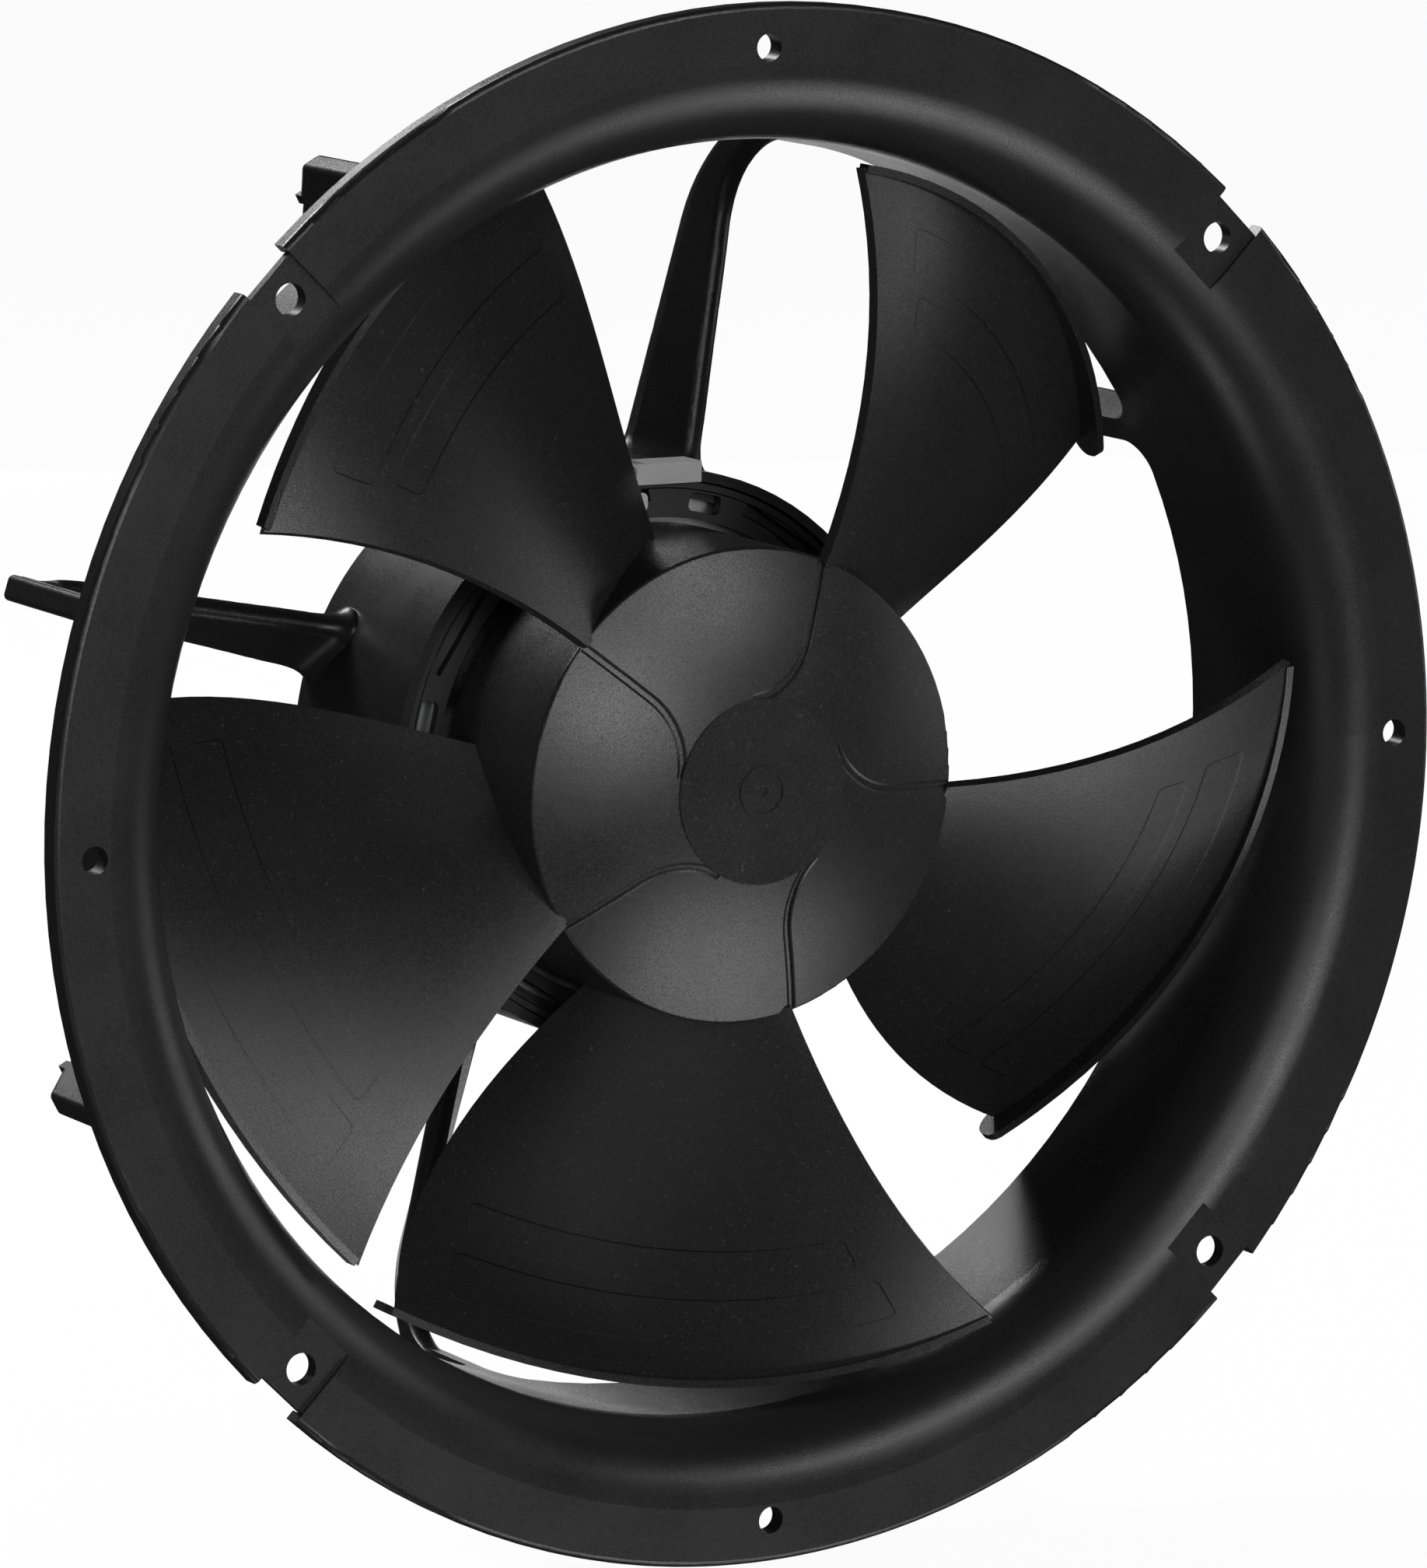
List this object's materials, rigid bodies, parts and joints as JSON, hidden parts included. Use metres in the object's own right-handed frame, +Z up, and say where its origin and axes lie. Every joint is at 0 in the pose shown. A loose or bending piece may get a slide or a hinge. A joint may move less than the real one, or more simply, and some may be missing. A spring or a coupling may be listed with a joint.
{
  "type": "axial wall fan",
  "caption": "Black axial fan for a wall opening: round flange with a bellmouth, five swept blades with winglets, and a motor held by eight arms behind them.",
  "frame": {"origin": "on the fan's axis, in the plane where the flange's lip and the ends of its eight screw holes rest on the wall", "axes": "+Y along the axis to the outlet side with the motor, inlet at -Y, +Z up, +X to the right as seen from the inlet"},
  "size_m": [0.381, 0.134, 0.381],
  "materials": {
    "ring_plastic": "black fine grained moulding with a satin sheen",
    "blade_plastic": "black glass filled moulding with pale speckles and a satin sheen",
    "housing_plastic": "black moulding, matt",
    "cover_plastic": "black moulding, matt",
    "cast_alloy": "die cast, dull",
    "lamination_steel": "stacked sheet steel, dull",
    "former_plastic": "natural nylon",
    "copper_wire": "enamelled copper wire",
    "board_green": "green solder mask",
    "capacitor_sleeve": "dark sleeved cans",
    "choke_core": "dark ferrite",
    "terminal_plastic": "green moulding",
    "bearing_steel": "ground and polished",
    "seal_rubber": "black rubber",
    "screw_steel": "zinc plated",
    "gland_plastic": "black polyamide",
    "bright_steel": "bright steel",
    "bell_steel": "drawn zinc plated steel",
    "magnet_ferrite": "sintered ferrite",
    "spring_steel": "blackened spring steel",
    "cage_plastic": "natural polyamide"
  },
  "bodies": {
    "stator": {"wall_ring": "ring_plastic", "motor_housing": "housing_plastic", "clip_ring": "housing_plastic", "stator_flange": "cast_alloy", "stator_core": "lamination_steel", "coil_formers": "former_plastic", "windings": "copper_wire", "circuit_board": "board_green", "capacitors": "capacitor_sleeve", "choke": "choke_core", "terminal_block": "terminal_plastic", "front_bearing_outer": "bearing_steel", "rear_bearing_outer": "bearing_steel", "rear_cover": "cover_plastic", "cover_seal": "seal_rubber", "cover_screws": "screw_steel", "housing_screws": "screw_steel", "cable_gland": "gland_plastic", "gland_nut": "gland_plastic", "earth_bracket": "bright_steel", "earth_screw": "screw_steel"},
    "rotor": {"impeller": "blade_plastic", "rotor_bell": "bell_steel", "rotor_magnets": "magnet_ferrite", "shaft": "bright_steel", "front_bearing_inner": "bearing_steel", "rear_bearing_inner": "bearing_steel", "shaft_circlip": "spring_steel"},
    "front_balls": {"front_bearing_balls": "bearing_steel", "front_bearing_cage": "cage_plastic"},
    "rear_balls": {"rear_bearing_balls": "bearing_steel", "rear_bearing_cage": "cage_plastic"}
  },
  "joints": [
    {"name": "rotor_spin", "type": "hinge", "parent": "stator", "child": "rotor", "pos_m": [0, 0, 0], "axis": [0, 1, 0], "continuous": true},
    {"name": "front_balls_turn", "type": "hinge", "parent": "stator", "child": "front_balls", "pos_m": [0, 0.0252, 0], "axis": [0, 1, 0], "continuous": true},
    {"name": "rear_balls_turn", "type": "hinge", "parent": "stator", "child": "rear_balls", "pos_m": [0, 0.0552, 0], "axis": [0, 1, 0], "continuous": true}
  ],
  "couplings": [
    {"joint": "front_balls_turn", "follows": "rotor_spin", "ratio": 0.3961},
    {"joint": "rear_balls_turn", "follows": "rotor_spin", "ratio": 0.3961}
  ]
}
